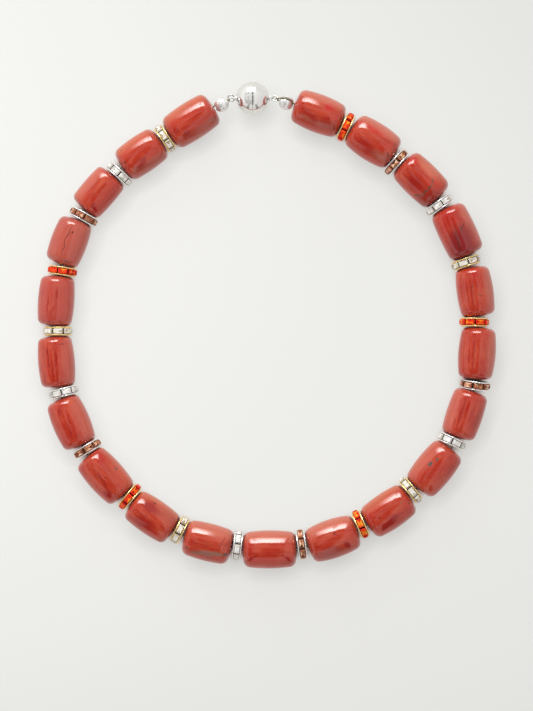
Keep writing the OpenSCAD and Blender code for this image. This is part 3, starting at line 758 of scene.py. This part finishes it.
def build_ring(side):
    shape = Shape()
    verts, faces = torus((RING_D[side] - 2 * WIRE_R) / 2, WIRE_R, 72, 20)
    shape.add(ring_at[side] + verts @ turn_matrix(TWIST[side], 0, 0).T, faces, local=verts)
    obj = shape.build(f"round_ring_{side}", [STEEL_WIRE])
    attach(obj, "root")
    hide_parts(f"jump_ring_{side}")


build_half("left", 180)
build_half("right", 0)
for side in RING_D:
    build_ring(side)
    nodes[f"crimp_cover_{side}"].data.materials[0] = SATIN


# Thread

ROUTE_STEP, THREAD_SIDES, PITCH, PLY_DEPTH = 0.2, 14, 1.1, 0.28
TURN_MIN = 0.3  # shortest neighbour that sets how strongly the route bends


def smooth_route(points, step):
    """Points along a smooth curve through the given ones, about a step apart."""
    p = np.array(points)
    out = []
    for i in range(len(p) - 1):
        a, b, c, d = p[max(i - 1, 0)], p[i], p[i + 1], p[min(i + 2, len(p) - 1)]
        here = np.linalg.norm(c - b)
        n = max(1, int(here / step))
        m0 = (c - a) / np.linalg.norm(c - a) * min(here, max(np.linalg.norm(b - a), TURN_MIN))
        m1 = (d - b) / np.linalg.norm(d - b) * min(here, max(np.linalg.norm(d - c), TURN_MIN))
        for s in np.arange(n) / n:
            h = 2 * s**3 - 3 * s**2 + 1, s**3 - 2 * s**2 + s, -2 * s**3 + 3 * s**2, s**3 - s**2
            out.append(h[0] * b + h[1] * m0 + h[2] * c + h[3] * m1)
    out.append(p[-1])
    return np.array(out)


def thread_route():
    """Round the left jump ring, through every bead and rondelle, round the right jump ring and
    over its crimp cover back into the last bead."""
    up = {s: turn_matrix(TWIST[s], 0, 0)[:, 2] for s in TWIST}

    def heading_between(a, b):
        return math.atan2(b[1] - a[1], b[0] - a[0])

    def round_wire(side):
        h = heading_between(cover_at[side], ring_at[side])
        tilt = math.radians(TWIST[side])
        way = np.array([math.cos(h), math.sin(h) * math.cos(tilt), math.sin(h) * math.sin(tilt)])
        q, r = WIRE_R + THREAD_R + STRAND_CLEAR, (RING_D[side] - 2 * WIRE_R) / 2
        return [ring_at[side] + (q * math.cos(a) - r) * way + q * math.sin(a) * up[side]
                for a in np.radians(range(90, -91, -15))]

    def bead_end(k, sign):
        centre, axes = bead_axes(k)
        return centre + sign * BEADS[k].length / 2 * axes[0], axes[0]

    first, _ = bead_end(0, -1)
    last, axis = bead_end(len(BEADS) - 1, 1)
    route = [cover_at["left"] + TAIL_STEP * up["left"]] + round_wire("left")
    route += [cover_at["left"] - TAIL_STEP * up["left"], first]
    play = RONDELLE_BORE_R - THREAD_R - THREAD_GAP
    for k in range(len(RONDELLES)):
        h = rondelle_heading(k)
        at = rondelle_axes(k)[0] - min(RONDELLES[k].hang, play) * direction(h + 90)
        route += [at - BEND_AT * direction(h), at + BEND_AT * direction(h)]
    drop = np.array([0, 0, BORE_STEP])
    route += [last - drop, cover_at["right"] - TAIL_STEP * up["right"]]
    route += round_wire("right")[::-1]
    h = heading_between(last, ring_at["right"])
    out = np.array([math.cos(h), math.sin(h), 0])
    route += [cover_at["right"] + STRAND_R * (math.cos(a) * out + math.sin(a) * up["right"])
              for a in np.radians(range(35, 156, 20))]
    return route + [last + drop, last - TAIL_IN * axis + drop]


def build_thread(material):
    """A two-ply twisted thread: its section is a rounded figure of eight that turns along it."""
    path = smooth_route(thread_route(), ROUTE_STEP)
    n = THREAD_SIDES
    tangent = np.gradient(path, axis=0)
    tangent /= np.linalg.norm(tangent, axis=1)[:, None]
    length = np.concatenate([[0], np.cumsum(np.linalg.norm(np.diff(path, axis=0), axis=1))])
    u = np.cross(tangent[0], (0.1, 0.2, 1))
    verts, local = [], []
    for p, t, s in zip(path, tangent, length):
        u = u - (u @ t) * t
        u /= np.linalg.norm(u)
        v = np.cross(t, u)
        for a in np.arange(n) * 2 * math.pi / n:
            r = THREAD_R * (1 - PLY_DEPTH + PLY_DEPTH * abs(math.cos(a - math.pi * s / PITCH)))
            verts.append(p + r * (math.cos(a) * u + math.sin(a) * v))
            local.append((s, a, r))
    rings = len(path)
    ends = [tuple(range(n - 1, -1, -1)), tuple(range((rings - 1) * n, rings * n))]
    shape = Shape()
    shape.add(verts, ring_faces(rings, n) + ends, local=local)
    obj = shape.build("twisted_thread", [material])
    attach(obj, "root")
    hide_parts("thread")


def waxed_thread():
    """Waxed thread, olive brown with paler fibres."""
    material, g = new_material("waxed_thread")
    fibre = g.noise(g.vector("MULTIPLY", g.local(), (6, 2.5, 40)), 1.0, 3, 0.6)
    shade, crown = from_photo(104, 90, 70), from_photo(166, 148, 120)
    finish_material(g, {"Base Color": g.mix(g.step(fibre, 0.3, 0.7), shade, crown),
                        "Roughness": 0.55, "Normal": g.bump(fibre, 0.4, 0.00004)})
    return material


build_thread(waxed_thread())


# Surface

FLOOR_REACH, FLOOR_LINES, FLOOR_Z = 4000.0, 24, -0.02
FLOOR_TONES = (0.104, 0.104, 0.101), (0.108, 0.108, 0.105)
TO_WINDOW = (-0.1, 0.42, 0.9)  # the floor takes its shadows as if it leaned to the window

# The floor's own glow where it is brightest, and how it falls off: with the square of the
# distance from a row above the photo's middle, and evenly to the right, most at the top. The
# places are in half widths and heights of the photo, and nothing changes further out
GLOW, GLOW_TINT, BRIGHT_ROW, ROW_FALL = 0.75, (1.0, 0.995, 0.958), 0.3, 0.042
RIGHT_FALL, RIGHT_FALL_UP, GLOW_EDGE = 0.043, 0.022, 1.4

# Painted shade: in the gaps between beads and rondelles the glow gives way to a little painted
# red light, as if off the stone
GAP_REACH, GAP_OPEN, GAP_LIGHT, GAP_TINT = 0.006, (0.2, 0.47), 0.1, (0.9, 0.28, 0.17)

# Painted shadow: on the side away from the window the glow is dimmed near the beads
LEE_REACH, LEE_WAY, LEE_DEPTH = 0.007, (-0.25, 0.8, 0.55), 0.25


def fall_of_light(g, place):
    x, y, _ = g.add("ShaderNodeSeparateXYZ", {0: place}, out=None).outputs

    def within(value, half, middle):
        scaled = g.math("DIVIDE", g.math("SUBTRACT", value, middle), half)
        return g.math("MAXIMUM", g.math("MINIMUM", scaled, GLOW_EDGE), -GLOW_EDGE)

    right = within(x, PHOTO_W // 2 * PX * MM, 0.0)
    up = within(y, PHOTO_H // 2 * PX * MM, (ORIGIN_Y - PHOTO_H // 2) * PX * MM)
    off = g.math("SUBTRACT", up, BRIGHT_ROW)
    slope = g.math("ADD", g.times(up, RIGHT_FALL_UP), RIGHT_FALL)
    glow = g.math("SUBTRACT", GLOW, g.times(off, off, ROW_FALL))
    return g.math("SUBTRACT", glow, g.times(slope, right))


def open_share(g, reach, samples, inputs=()):
    """How open a place is to the light from above, or from the given side."""
    share = g.add("ShaderNodeAmbientOcclusion", {"Distance": reach, **dict(inputs)}, out=1)
    share.node.samples = samples
    return share


def pale_surface():
    """A pale surface that is lighter than soft lamps alone make it, so part of its light is its
    own, and weaker where the necklace stands in the way."""
    material, g = new_material("pale_surface")
    place = g.add("ShaderNodeTexCoord", out=3)
    colour = g.mix(g.step(g.noise(place, 900, 2), 0.3, 0.7), *FLOOR_TONES)
    # painted shade in the gaps, tinted with painted red light, and painted shadow on the side away from
    # the window
    free = g.step(open_share(g, GAP_REACH, 12), *GAP_OPEN)
    lee = open_share(g, LEE_REACH, 8, {"Normal": g.vector("NORMALIZE", LEE_WAY)})
    in_gap = g.math("ADD", g.times(free, 1 - GAP_LIGHT), GAP_LIGHT)
    glow = g.times(fall_of_light(g, place), in_gap, g.math("POWER", lee, LEE_DEPTH))
    finish_material(g, {"Base Color": colour, "Roughness": 0.9, "Specular IOR Level": 0.2,
                        "Emission Color": g.mix(free, GAP_TINT, GLOW_TINT),
                        "Emission Strength": glow, "Normal": g.vector("NORMALIZE", TO_WINDOW)})
    return material


def build_floor():
    n = FLOOR_LINES
    lines = np.linspace(-FLOOR_REACH, FLOOR_REACH, n)
    faces = [(j * n + i, j * n + i + 1, (j + 1) * n + i + 1, (j + 1) * n + i)
             for j in range(n - 1) for i in range(n - 1)]
    shape = Shape()
    shape.add([(x, y, FLOOR_Z) for y in lines for x in lines], faces)
    obj = shape.build("pale_floor", [pale_surface()])


build_floor()


# Light

EVEN_LIGHT = 0.41  # on matt surfaces, the same from all round

# What shiny things see instead, in degrees from straight up, about Y and about X: a dim middle
# with paler panes in it, a brighter surround with two dark seams, and a shade on the right
DIM_X, DIM_Y, DIM_LIGHT, PANE_LIGHT = (-58, 12), (-49, 44), 0.22, 0.72
DIM_SOFT_X, DIM_SOFT_Y, SOFT = 9, 7, 6
LONG_PANES, LONG_PANES_FROM, CROSS_PANE = ((-48, -37), (-21, -8)), (-20, -12), (14, 28)
SURROUND_LIGHT, SURROUND_FROM = (0.85, 1.05), (-75, -55)
SEAMS, SEAMS_BELOW, SEAM_DEPTH = ((-72, -56), (-126, -110)), (-50, -42), 0.8
SHADE_X, SHADE_Y, SHADE_DEPTH = (14, 34), (-70, -50), 0.2

# The window beyond +Y and its bar, as places on the plane y = 1: u to the right and v upwards
PANE_LEFT, PANE_RIGHT = (-0.85, -0.3), (0.12, 0.34)
PANE_BOTTOM, PANE_TOP, LEAST_AHEAD = (0.08, 0.68), (0.98, 1.1), 0.02
BAR_U, BAR_V, BAR_SOFT, BAR_DEPTH, WINDOW_LIGHT = (-0.26, -0.18), (0.6, 0.75), 0.04, 0.75, 15.0
WINDOW_TINT, STUDIO_TINT = (0.8, 1.0, 0.985), (1.0, 1.0, 0.985)


def studio_light(g, x, y, z):
    def degrees(a, b):
        return g.times(g.math("ARCTAN2", a, b), 180 / math.pi)

    ax, ay, around = degrees(x, z), degrees(y, z), degrees(y, x)
    dim = g.times(g.band(ax, *DIM_X, DIM_SOFT_X), g.band(ay, *DIM_Y, DIM_SOFT_Y))
    panes = g.math("ADD", *(g.band(ax, *pane, SOFT) for pane in LONG_PANES))
    panes = g.math("MAXIMUM", g.times(panes, g.step(ay, *LONG_PANES_FROM)),
                   g.band(ay, *CROSS_PANE, SOFT))
    middle = g.add("ShaderNodeMapRange", {0: panes, 3: DIM_LIGHT, 4: PANE_LIGHT})
    seams = g.math("ADD", *(g.band(around, *seam, SOFT) for seam in SEAMS))
    seams = g.times(seams, g.step(ay, *SEAMS_BELOW, 1.0, 0.0))
    shade = g.times(g.step(ax, *SHADE_X), g.step(ay, *SHADE_Y))
    surround = g.times(g.step(ay, *SURROUND_FROM, *SURROUND_LIGHT), g.less(seams, SEAM_DEPTH),
                       g.less(shade, SHADE_DEPTH))
    return g.add("ShaderNodeMix", {0: dim, 2: surround, 3: middle}, data_type="FLOAT")


def window(g, x, y, z):
    ahead = g.math("MAXIMUM", y, LEAST_AHEAD)
    u, v = g.math("DIVIDE", x, ahead), g.math("DIVIDE", z, ahead)
    across = g.times(g.step(u, *PANE_LEFT), g.step(u, *PANE_RIGHT, 1.0, 0.0))
    upwards = g.times(g.step(v, *PANE_BOTTOM), g.step(v, *PANE_TOP, 1.0, 0.0))
    bar = g.times(g.band(u, *BAR_U, BAR_SOFT), g.step(v, *BAR_V, BAR_DEPTH, 0.0))
    return g.times(across, upwards, g.math("SUBTRACT", 1.0, bar))


def build_world():
    """Even light for matt surfaces, and for shiny ones a studio with a window."""
    world = bpy.data.worlds.new("studio")
    bpy.context.scene.world = world
    world.use_nodes = True
    g = Graph(world.node_tree)
    way = g.add("ShaderNodeTexCoord", out=0)
    x, y, z = g.add("ShaderNodeSeparateXYZ", {0: way}, out=None).outputs
    pane = window(g, x, y, z)
    seen = g.math("ADD", studio_light(g, x, y, z), g.times(pane, WINDOW_LIGHT))
    shiny = g.add("ShaderNodeLightPath", out=None).outputs["Is Glossy Ray"]
    strength = g.add("ShaderNodeMapRange", {0: shiny, 3: EVEN_LIGHT, 4: seen})
    back = g.add("ShaderNodeBackground", {0: g.mix(pane, STUDIO_TINT, WINDOW_TINT), 1: strength})
    g.add("ShaderNodeOutputWorld", {0: back}, out=None)


def build_lamp(name, at, to, size, power):
    """A soft lamp that gives shape and shadow and isn't mirrored in the beads."""
    data = bpy.data.lights.new(name, "AREA")
    data.shape, data.size, data.size_y, data.energy = "RECTANGLE", size[0], size[1], power
    obj = bpy.data.objects.new(name, data)
    bpy.context.scene.collection.objects.link(obj)
    obj.location = at
    aim = np.array(to) - np.array(at)
    obj.rotation_mode = "QUATERNION"
    obj.rotation_quaternion = Vector(aim).to_track_quat("-Z", "Y")
    obj.visible_glossy = False


build_world()
build_lamp("window_lamp", (-0.28, 0.9, 0.8), (0, 0, 0), (0.6, 0.95), 9.1)
build_lamp("overhead_lamp", (-0.2, 0.02, 0.8), (-0.2, 0.02, 0), (0.7, 0.7), 2.15)


# Camera, straight above as in the photo

EYE, BEAD_MIDDLE_Z, SENSOR = 1.3, 0.006, 36

camera = bpy.data.cameras.new("camera")
camera.lens = SENSOR * EYE / (PHOTO_H * PX * MM)
camera.clip_start, camera.clip_end = 0.05, 20
camera_obj = bpy.data.objects.new("camera", camera)
camera_obj.location = ((PHOTO_W / 2 - ORIGIN_X) * PX * MM, (ORIGIN_Y - PHOTO_H / 2) * PX * MM,
                       BEAD_MIDDLE_Z + EYE)
bpy.context.scene.collection.objects.link(camera_obj)
scene = bpy.context.scene
scene.camera = camera_obj
scene.view_settings.view_transform = "Standard"
